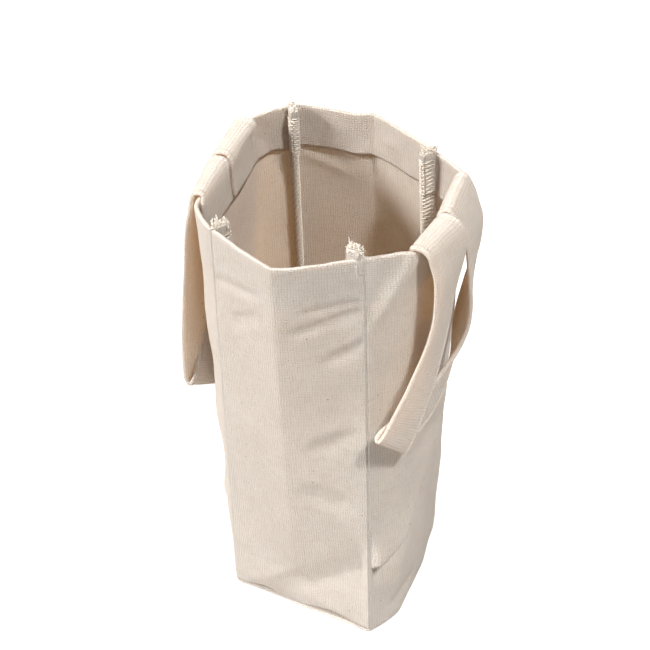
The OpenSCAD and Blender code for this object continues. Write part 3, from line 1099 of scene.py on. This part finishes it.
@dataclass(frozen=True)
class CornerSeam:
    """The overlock over the raw edges of one corner's two allowances."""

    name: str
    node: str
    way_x: int
    way_y: int
    seed: float
    pitch: float = 2.3 * MM
    depth: float = 5 * MM
    thread: float = 0.26 * MM
    start: float = 3 * MM
    shortfall: float = 4 * MM
    half_fin: float = 1.05 * MM
    half_hem: float = 1.95 * MM
    hem_step: float = 1 * MM
    bedding: float = 0.6
    wander: float = 0.35 * MM
    wander_step: float = 0.9

    NEEDLE = (Stitch(0.0, None, 1.0), Stitch(0.55, None, 1.0))
    LOOPER = (
        Stitch(0.0, None, 1.0, 0.1), Stitch(0.2, -1.5, 1.0, 0.15), Stitch(0.35, 0.35, 0.7),
        Stitch(0.5, 0.35, -0.7), Stitch(0.65, -1.5, -1.0, -0.15), Stitch(0.8, None, -1.0, -0.1),
        Stitch(0.9, -2.0, -1.0, -0.2), Stitch(0.95, 0.45, -0.3), Stitch(1.0, 0.4, 0.5),
    )
    CHAIN = (Stitch(0.0, 0.4, 0.6), Stitch(0.5, 0.4, -0.6))
    LEVEL_DIGITS = 4

    def place(self, form: Form, up: float, out: float, aside: float) -> Vector:
        """Gives a place on the fin of the two allowances.

        Args:
            form: The bag's form.
            up: Height, in metres.
            out: Distance from the corner along the fin, in metres.
            aside: Distance off the fin's middle, in metres.

        Returns:
            The place in the part's frame.
        """
        section = form.section(round(up, self.LEVEL_DIGITS))
        angle = form.fin_angle(self.way_x, self.way_y, up)
        x = section.corner_x - math.cos(angle) * out - math.sin(angle) * aside
        y = section.corner_y - math.sin(angle) * out + math.cos(angle) * aside
        return form.settle(self.way_x * x, self.way_y * y, up)

    def build(self, form: Form) -> bpy.types.Object:
        """Makes the overlock's three threads, from the foot to the rim.

        Args:
            form: The bag's form.

        Returns:
            The threads.
        """
        paths = (self.NEEDLE, self.LOOPER, self.CHAIN)
        lines = tuple([] for _ in paths)
        hem_top = form.height - form.hem
        for i in range(int((form.height - self.shortfall) / self.pitch)):
            up = self.start + i * self.pitch
            half = between((self.half_fin, self.half_hem), smooth(up, hem_top - self.hem_step, hem_top))
            half += self.thread * self.bedding
            needle = self.wander * noise.noise(Vector((i * self.wander_step, self.seed, 0))) - self.depth
            for line, path in zip(lines, paths):
                for stitch in path:
                    past = needle if stitch.past_edge is None else stitch.past_edge * MM
                    line.append(self.place(form, up + self.pitch * stitch.gone, form.allowance + past,
                                           half * stitch.side + stitch.proud * MM))
        return Tubes(self.name, self.thread).build(lines)


CORNER_SEAMS = (
    CornerSeam("front_right_stitches", "front_right_overlock", 1, -1, 3.1),
    CornerSeam("front_left_stitches", "front_left_overlock", -1, -1, 8.4),
    CornerSeam("rear_right_stitches", "rear_right_overlock", 1, 1, 15.2),
    CornerSeam("rear_left_stitches", "rear_left_overlock", -1, 1, 22.9),
)


@dataclass(frozen=True)
class BaseSeam:
    """The overlock over the raw edge of a gusset's allowance on the base.

    A stitch is a row of points, each with its place up the cloth and its rise over it in millimetres.
    """

    name: str
    node: str
    side: Side
    pitch: float = 2.3 * MM
    thread: float = 0.26 * MM
    half_length: float = 27 * MM
    stitch: tuple[Point, ...] = ((-7.9, -0.2), (-7.9, 0.6), (-3.2, 0.7), (-5.5, 0.75), (-8.1, 0.5))

    def build(self, carrier: Carrier) -> bpy.types.Object:
        """Makes the threads on top of the allowance.

        Args:
            carrier: The bag.

        Returns:
            The threads.
        """
        panel = carrier.rear if self.side is Side.REAR else carrier.front
        line = []
        for i in range(int(2 * self.half_length / self.pitch)):
            across = -self.half_length + i * self.pitch
            for along, rise in self.stitch:
                line.append(carrier.gusset_at(panel, across, along * MM) + Vector((0, 0, rise * MM)))
                across += self.pitch / len(self.stitch)
        return Tubes(self.name, self.thread).build((line,))


BASE_SEAMS = (
    BaseSeam("front_base_stitches", "front_base_overlock", Side.FRONT),
    BaseSeam("rear_base_stitches", "rear_base_overlock", Side.REAR),
)


@dataclass(frozen=True)
class Fray:
    """A tuft of frayed yarn where the allowances end at the rim."""

    name: str
    seam: CornerSeam
    count: int
    length: float = 4 * MM
    mean_share: float = 0.55
    thread: float = 0.2 * MM
    sides: int = 4
    steps: int = 6
    sunk: float = 1.5 * MM
    apart: float = 0.8 * MM
    spread: float = 1 * MM
    reach: Point = (0.1, 1.0)
    bend_out: float = 3 * MM
    bend_aside: float = 4 * MM
    droop: float = 2.5 * MM

    YARN_SEED = 3.7
    WAY_SEED = 5.3

    def build(self, form: Form) -> bpy.types.Object:
        """Makes the tuft.

        Args:
            form: The bag's form.

        Returns:
            The yarns.
        """
        foot = form.height - self.sunk + form.fin_rise(self.seam.way_x, self.seam.way_y)
        lines = [self._yarn(form, foot, i) for i in range(self.count)]
        return Tubes(self.name, self.thread, self.sides).build(lines)

    def _yarn(self, form: Form, foot: float, number: int) -> list[Vector]:
        """Lays one yarn of the tuft.

        Args:
            form: The bag's form.
            foot: Height at which it leaves the cloth, in metres.
            number: Which yarn it is.

        Returns:
            The yarn's points.
        """
        aside, taller, outward, sideward, lower = (
            noise.noise(Vector((number * self.YARN_SEED, self.seam.seed, k * self.WAY_SEED))) for k in range(5))
        aside = self.apart * (2 * (number % 2) - 1) + aside * self.spread
        start = form.allowance * between(self.reach, number / self.count)
        points = []
        for k in range(self.steps + 1):
            gone = k / self.steps
            up = foot + self.length * (self.mean_share + taller) * gone
            spot = self.seam.place(form, up, start + outward * self.bend_out * gone**2,
                                   aside + sideward * self.bend_aside * gone**2)
            points.append(spot - Vector((0, 0, abs(lower) * self.droop * gone**3)))
        return points


class Graph:
    """Adds nodes to a material's or a group's tree and links them."""

    def __init__(self, tree: bpy.types.NodeTree) -> None:
        """Keeps the tree."""
        self.tree = tree

    def node(self, kind: str, settings: dict | None = None, **sockets: object) -> bpy.types.Node:
        """Adds a node.

        Args:
            kind: The node's type.
            settings: Its own settings.
            sockets: Values or links of its inputs, with underscores for spaces.

        Returns:
            The node.
        """
        made = self.tree.nodes.new(kind)
        for key, value in (settings or {}).items():
            setattr(made, key, value)
        for key, value in sockets.items():
            self.feed(made.inputs[key.replace("_", " ")], value)
        return made

    def feed(self, socket: bpy.types.NodeSocket, value: object) -> None:
        """Links an output into a socket, or sets the socket's value.

        Args:
            socket: The input.
            value: An output, or a value.
        """
        if isinstance(value, bpy.types.NodeSocket):
            self.tree.links.new(value, socket)
        else:
            socket.default_value = value

    def math(self, operation: str, *values: object) -> bpy.types.NodeSocket:
        """Adds a math node.

        Args:
            operation: What it works out.
            values: Its inputs.

        Returns:
            The result.
        """
        made = self.node("ShaderNodeMath", {"operation": operation})
        for socket, value in zip(made.inputs, values):
            self.feed(socket, value)
        return made.outputs["Value"]

    def choose(self, share: object, first: object, second: object) -> bpy.types.NodeSocket:
        """Mixes two values.

        Args:
            share: How much of the first.
            first: The first value.
            second: The second value.

        Returns:
            The mixed value.
        """
        rest = self.math("SUBTRACT", 1.0, share)
        return self.math("ADD", self.math("MULTIPLY", first, share), self.math("MULTIPLY", second, rest))

    def ramp(self, value: object, low: float, high: float, to_low: float = 0.0, to_high: float = 1.0
             ) -> bpy.types.NodeSocket:
        """Maps a value softly from one range to another.

        Args:
            value: The value.
            low: Start of its range.
            high: End of its range.
            to_low: Result at the start.
            to_high: Result at the end.

        Returns:
            The result.
        """
        made = self.node("ShaderNodeMapRange", {"interpolation_type": "SMOOTHSTEP"}, Value=value)
        for key, number in (("From Min", low), ("From Max", high), ("To Min", to_low), ("To Max", to_high)):
            made.inputs[key].default_value = number
        return made.outputs["Result"]

    def mix(self, share: object, first: object, second: object, blend: str = "MIX") -> bpy.types.NodeSocket:
        """Mixes two colours.

        Args:
            share: How much of the second.
            first: The first colour.
            second: The second colour.
            blend: How they mix.

        Returns:
            The mixed colour.
        """
        made = self.node("ShaderNodeMix", {"data_type": "RGBA", "blend_type": blend})
        for index, value in ((0, share), (6, first), (7, second)):
            self.feed(made.inputs[index], value)
        return made.outputs[2]

    def noise(self, vector: object, scale: float, detail: float, rough: float = 0.5, output: str = "Fac"
              ) -> bpy.types.NodeSocket:
        """Adds a noise texture.

        Args:
            vector: Where it is looked up.
            scale: Its scale.
            detail: Its number of octaves.
            rough: How strong the finer ones are.
            output: Which of its outputs is wanted.

        Returns:
            The noise, about 0.5 in the mean.
        """
        made = self.node("ShaderNodeTexNoise", {"noise_dimensions": "3D"}, Vector=vector, Scale=scale,
                         Detail=detail, Roughness=rough)
        return made.outputs[output]

    def stretched(self, vector: object, x: float, y: float) -> bpy.types.NodeSocket:
        """Scales a place by its two axes.

        Args:
            vector: The place.
            x: Factor along the first axis.
            y: Factor along the second axis.

        Returns:
            The scaled place.
        """
        made = self.node("ShaderNodeVectorMath", {"operation": "MULTIPLY"})
        self.feed(made.inputs[0], vector)
        made.inputs[1].default_value = (x, y, 1)
        return made.outputs["Vector"]


@dataclass(frozen=True)
class Weave:
    """The plain weave that all canvas pieces share: its relief, the tone of its yarns with painted shade in the
    gaps between them, and its flecks.
    """

    wander: float = 0.022
    wander_scale: float = 16.0
    wander_detail: float = 3.0
    hump: float = 0.6
    crossing: float = 0.35
    yarn_scales: tuple[Point, Point] = ((110.0, 14.0), (12.0, 120.0))
    yarn_detail: float = 2.0
    yarn_height: Ramp = (0.3, 0.75, 0.75, 1.15)
    yarn_tone: Ramp = (0.3, 0.6, 0.82, 1.0)
    # Painted shade: how much darker the colour is made where the weave lies low between the yarns.
    gap_shade: Ramp = (0.05, 0.85, 0.45, 1.0)
    fuzz: float = 0.45
    fuzz_noise: tuple[float, ...] = (420.0, 3.0, 0.7)
    fleck_cells: Point = (13.0, 10.0)
    fleck_rarity: float = 0.62
    fleck_size: float = 0.05
    mottle_noise: tuple[float, ...] = (5.0, 5.0, 0.6)

    def build(self) -> bpy.types.NodeTree:
        """Makes the node group.

        Returns:
            The group.
        """
        group = bpy.data.node_groups.new("plain_weave", "ShaderNodeTree")
        face = group.interface
        face.new_socket("Cloth", in_out="INPUT", socket_type="NodeSocketVector")
        for name in ("Warp Count", "Weft Count"):
            face.new_socket(name, in_out="INPUT", socket_type="NodeSocketFloat")
        for name in ("Height", "Tone And Gap Shade", "Fleck", "Mottle"):
            face.new_socket(name, in_out="OUTPUT", socket_type="NodeSocketFloat")
        graph = Graph(group)
        given = graph.node("NodeGroupInput").outputs
        result = graph.node("NodeGroupOutput").inputs
        cloth = given["Cloth"]
        bent = graph.node("ShaderNodeVectorMath", {"operation": "MULTIPLY_ADD"})
        graph.feed(bent.inputs[0], graph.noise(cloth, self.wander_scale, self.wander_detail, output="Color"))
        bent.inputs[1].default_value = (self.wander, self.wander, 0)
        graph.feed(bent.inputs[2], cloth)
        split = graph.node("ShaderNodeSeparateXYZ", Vector=bent.outputs["Vector"])
        waves = []
        for axis, count in (("X", "Warp Count"), ("Y", "Weft Count")):
            turns = graph.math("MULTIPLY", graph.math("MULTIPLY", split.outputs[axis], given[count]), math.pi)
            waves.append(graph.math("SINE", turns))
        over = graph.ramp(graph.math("MULTIPLY", *waves), -self.crossing, self.crossing)
        tones = [graph.noise(graph.stretched(cloth, *scales), 1.0, self.yarn_detail)
                 for scales in self.yarn_scales]
        yarns = [graph.math("MULTIPLY", graph.math("POWER", graph.math("ABSOLUTE", wave), self.hump),
                            graph.ramp(tone, *self.yarn_height)) for wave, tone in zip(waves, tones)]
        woven = graph.choose(over, *yarns)
        fuzz = graph.math("MULTIPLY", graph.noise(cloth, *self.fuzz_noise), self.fuzz)
        graph.feed(result["Height"], graph.math("ADD", woven, fuzz))
        slub = graph.ramp(graph.choose(over, *tones), *self.yarn_tone)
        # The yarns' own slub tone, times painted shade where the weave lies low between the yarns.
        graph.feed(result["Tone And Gap Shade"], graph.math("MULTIPLY", slub, graph.ramp(woven, *self.gap_shade)))
        cells = graph.node("ShaderNodeTexVoronoi", {"voronoi_dimensions": "2D"}, Scale=1.0,
                           Vector=graph.stretched(bent.outputs["Vector"], *self.fleck_cells))
        lot = graph.node("ShaderNodeSeparateColor", Color=cells.outputs["Color"]).outputs
        rare = graph.math("GREATER_THAN", lot["Red"], self.fleck_rarity)
        size = graph.math("MULTIPLY", lot["Green"], self.fleck_size)
        spot = graph.math("LESS_THAN", cells.outputs["Distance"], size)
        graph.feed(result["Fleck"], graph.math("MULTIPLY", spot, rare))
        graph.feed(result["Mottle"], graph.noise(cloth, *self.mottle_noise))
        return group


@dataclass(frozen=True)
class Canvas:
    """Unbleached cotton canvas, and how coarse it looks on one kind of piece."""

    name: str
    warp_count: float = 88.0
    weft_count: float = 96.0
    tint: Colour = (0.94, 0.908, 0.845)
    deep: Colour = (0.62, 0.53, 0.41)
    tint_range: Point = (0.3, 0.95)
    fleck: Colour = (0.3, 0.17, 0.08)
    fleck_share: float = 0.75
    cloud: Colour = (0.94, 0.92, 0.89)
    cloud_share: Ramp = (0.3, 0.7, 0.0, 0.35)
    relief: float = 0.45 * MM
    roughness: Ramp = (0.2, 1.3, 0.95, 0.78)
    specular: float = 0.2
    sheen: float = 0.12
    sheen_roughness: float = 0.5
    through: float = 0.32
    amber: Colour = (1.0, 0.72, 0.43)

    def build(self, weave: bpy.types.NodeTree) -> bpy.types.Material:
        """Makes the material.

        Args:
            weave: The weave's node group.

        Returns:
            The material.
        """
        material = bpy.data.materials.new(self.name)
        material.use_nodes = True
        graph = Graph(material.node_tree)
        shader = material.node_tree.nodes["Principled BSDF"]
        cloth = graph.node("ShaderNodeUVMap", {"uv_map": CLOTH_UV})
        woven = graph.node("ShaderNodeGroup", {"node_tree": weave}, Cloth=cloth.outputs["UV"],
                           Warp_Count=self.warp_count, Weft_Count=self.weft_count).outputs
        # From the deep colour to the tint: the darker yarns' own tone, and painted shade in the gaps between
        # the yarns.
        colour = graph.mix(graph.ramp(woven["Tone And Gap Shade"], *self.tint_range), (*self.deep, 1), (*self.tint, 1))
        cloud = graph.ramp(woven["Mottle"], *self.cloud_share)
        colour = graph.mix(cloud, colour, (*self.cloud, 1), "MULTIPLY")
        colour = graph.mix(graph.math("MULTIPLY", woven["Fleck"], self.fleck_share), colour, (*self.fleck, 1))
        graph.feed(shader.inputs["Base Color"], colour)
        graph.feed(shader.inputs["Roughness"], graph.ramp(woven["Height"], *self.roughness))
        bump = graph.node("ShaderNodeBump", Height=woven["Height"], Distance=self.relief, Strength=1.0)
        graph.feed(shader.inputs["Normal"], bump.outputs["Normal"])
        shader.inputs["Specular IOR Level"].default_value = self.specular
        shader.inputs["Sheen Weight"].default_value = self.sheen
        shader.inputs["Sheen Roughness"].default_value = self.sheen_roughness
        passed = graph.node("ShaderNodeBsdfTranslucent", Color=(*self.amber, 1), Normal=bump.outputs["Normal"])
        both = graph.node("ShaderNodeMixShader", Fac=self.through)
        graph.feed(both.inputs[1], shader.outputs["BSDF"])
        graph.feed(both.inputs[2], passed.outputs["BSDF"])
        graph.feed(material.node_tree.nodes["Material Output"].inputs["Surface"], both.outputs["Shader"])
        return material


@dataclass(frozen=True)
class Thread:
    """Twisted cotton thread."""

    name: str
    tint: Colour = (0.88, 0.82, 0.73)
    deep: Colour = (0.62, 0.52, 0.4)
    twist_scale: float = 60.0
    twist_wobble: float = 1.5
    groove_range: Point = (0.0, 0.5)
    roughness: float = 0.85
    specular: float = 0.2
    sheen: float = 0.2

    def build(self) -> bpy.types.Material:
        """Makes the material.

        Returns:
            The material.
        """
        material = bpy.data.materials.new(self.name)
        material.use_nodes = True
        graph = Graph(material.node_tree)
        shader = material.node_tree.nodes["Principled BSDF"]
        thread = graph.node("ShaderNodeUVMap", {"uv_map": CLOTH_UV})
        ply = graph.node("ShaderNodeTexWave", {"bands_direction": "DIAGONAL"}, Vector=thread.outputs["UV"],
                         Scale=self.twist_scale, Distortion=self.twist_wobble)
        lit = graph.ramp(ply.outputs["Fac"], *self.groove_range)
        graph.feed(shader.inputs["Base Color"], graph.mix(lit, (*self.deep, 1), (*self.tint, 1)))
        shader.inputs["Roughness"].default_value = self.roughness
        shader.inputs["Specular IOR Level"].default_value = self.specular
        shader.inputs["Sheen Weight"].default_value = self.sheen
        return material


@dataclass(frozen=True)
class Lamp:
    """A far soft lamp: where it stands, how strong it is and how wide it looks."""

    name: str
    stands: tuple[float, float, float]
    strength: float
    spread: float

    def build(self) -> None:
        """Hangs the lamp."""
        lamp = bpy.data.lights.new(self.name, "SUN")
        lamp.energy = self.strength
        lamp.angle = self.spread
        hung = bpy.data.objects.new(self.name, lamp)
        hung.rotation_euler = Vector(self.stands).to_track_quat("Z", "Y").to_euler()
        bpy.context.scene.collection.objects.link(hung)


@dataclass(frozen=True)
class Studio:
    """The pale floor, the soft light and the camera."""

    floor_half: float = 3.0
    floor_drop: float = 0.2 * MM
    floor_tone: Colour = (0.45, 0.44, 0.43)
    floor_roughness: float = 0.9
    floor_glow: float = 0.72
    sky_strength: float = 0.26
    lamps: tuple[Lamp, ...] = (
        Lamp("key", (-0.7, -0.45, 0.56), 4.1, math.radians(14)),
        Lamp("fill", (0.38, -0.18, 0.91), 3.1, math.radians(6)),
    )
    lens: float = 114.8
    camera_place: tuple[float, float, float] = (0.2712, -0.5879, 0.872)
    camera_turn: tuple[float, float, float] = (math.radians(42.6), 0.0, math.radians(25.0))

    def build(self) -> None:
        """Sets up the whole studio."""
        self._floor()
        self._sky()
        for lamp in self.lamps:
            lamp.build()
        self._camera()
        bpy.context.scene.view_settings.view_transform = "Standard"

    def _floor(self) -> None:
        """Lays the floor, which looks white to the camera and still takes the shadow."""
        mesh_data = bmesh.new()
        bmesh.ops.create_grid(mesh_data, x_segments=1, y_segments=1, size=self.floor_half)
        bmesh.ops.translate(mesh_data, verts=mesh_data.verts, vec=(0, 0, -self.floor_drop))
        floor = as_object(mesh_data, "floor")
        material = bpy.data.materials.new("floor_paper")
        material.use_nodes = True
        graph = Graph(material.node_tree)
        shader = material.node_tree.nodes["Principled BSDF"]
        shader.inputs["Base Color"].default_value = (*self.floor_tone, 1)
        shader.inputs["Roughness"].default_value = self.floor_roughness
        shader.inputs["Emission Color"].default_value = WHITE
        seen = graph.node("ShaderNodeLightPath").outputs["Is Camera Ray"]
        graph.feed(shader.inputs["Emission Strength"], graph.math("MULTIPLY", seen, self.floor_glow))
        floor.data.materials.append(material)

    def _sky(self) -> None:
        """Fills the room with an even light, behind which the camera sees white."""
        world = bpy.data.worlds.new("sky")
        bpy.context.scene.world = world
        world.use_nodes = True
        graph = Graph(world.node_tree)
        back = world.node_tree.nodes["Background"]
        back.inputs["Color"].default_value = WHITE
        seen = graph.node("ShaderNodeLightPath").outputs["Is Camera Ray"]
        graph.feed(back.inputs["Strength"], graph.ramp(seen, 0.0, 1.0, self.sky_strength, 1.0))

    def _camera(self) -> None:
        """Sets the camera above the front right of the bag, as in the photograph."""
        camera = bpy.data.objects.new("camera", bpy.data.cameras.new("camera"))
        camera.data.lens = self.lens
        camera.location = self.camera_place
        camera.rotation_euler = self.camera_turn
        bpy.context.scene.collection.objects.link(camera)
        bpy.context.scene.camera = camera


class Dressing:
    """Puts the finished pieces in place with their materials, the cloth and the threads on the bag's body."""

    FRAYED_YARNS = 76
    BEND_HEIGHT = 255.3
    BEND_LEAN = 0.13

    def __init__(self) -> None:
        """Makes the form and the materials."""
        weave = Weave().build()
        self.carrier = Carrier(Form())
        self.canvas = Canvas("canvas").build(weave)
        self.strap = Canvas("strap_canvas", warp_count=96.0, weft_count=72.0).build(weave)
        self.thread = Thread("overlock_thread").build()

    def _put(self, piece: bpy.types.Object, material: bpy.types.Material, slot: str, *nodes: str) -> None:
        """Gives a piece its material and hides the nodes that it stands for.

        Args:
            piece: The piece.
            material: Its material.
            slot: Not used.
            nodes: The nodes that it replaces.
        """
        piece.data.materials.append(material)
        if nodes:
            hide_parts(*nodes)
        LOG.info("%s has %d faces", piece.name, len(piece.data.polygons))

    def cloth(self) -> None:
        """Puts on the body strip and the gussets."""
        form = self.carrier.form
        wide = form.face + 2 * form.allowance
        long = 2 * (form.section(0.0).corner_x + form.height + form.hem)
        cuts = {"body_strip_cloth": (wide, long)}
        gusset = (form.gusset + 2 * form.allowance, form.height + form.hem + form.allowance)
        for name, piece in self.carrier.build().items():
            self._put(piece, self.canvas, "canvas", name.removesuffix("_cloth"))
            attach(piece, "bag")
            cuts.get(name, gusset)

    def straps(self) -> None:
        """Hangs the two straps."""
        for hang in (RIGHT_HANG, LEFT_HANG):
            strap = Strap(hang.name, tuple(hang.stations(self.carrier)), hang.seed)
            piece = strap.build()
            self._put(piece, self.strap, "strap", *hang.nodes)
            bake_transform(piece)
            flat = (strap.width, Ribbon(strap.stations, strap.spacing).length)

    def threads(self) -> None:
        """Puts on the overlock and the frayed ends."""
        for seam in CORNER_SEAMS:
            piece = seam.build(self.carrier.form)
            self._put(piece, self.thread, "thread", seam.node)
            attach(piece, "bag")
            tuft = Fray(seam.name.replace("stitches", "fray"), seam, self.FRAYED_YARNS).build(self.carrier.form)
            self._put(tuft, self.thread, "thread")
            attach(tuft, "bag")
        for seam in BASE_SEAMS:
            piece = seam.build(self.carrier)
            self._put(piece, self.thread, "thread", seam.node)
            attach(piece, "bag")


def main() -> None:
    """Dresses the part and sets up the studio."""
    logging.basicConfig(level=logging.INFO, format="%(name)s: %(message)s")
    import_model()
    Studio().build()
    dressing = Dressing()
    dressing.cloth()
    dressing.straps()
    dressing.threads()


if __name__ == "__main__":
    main()
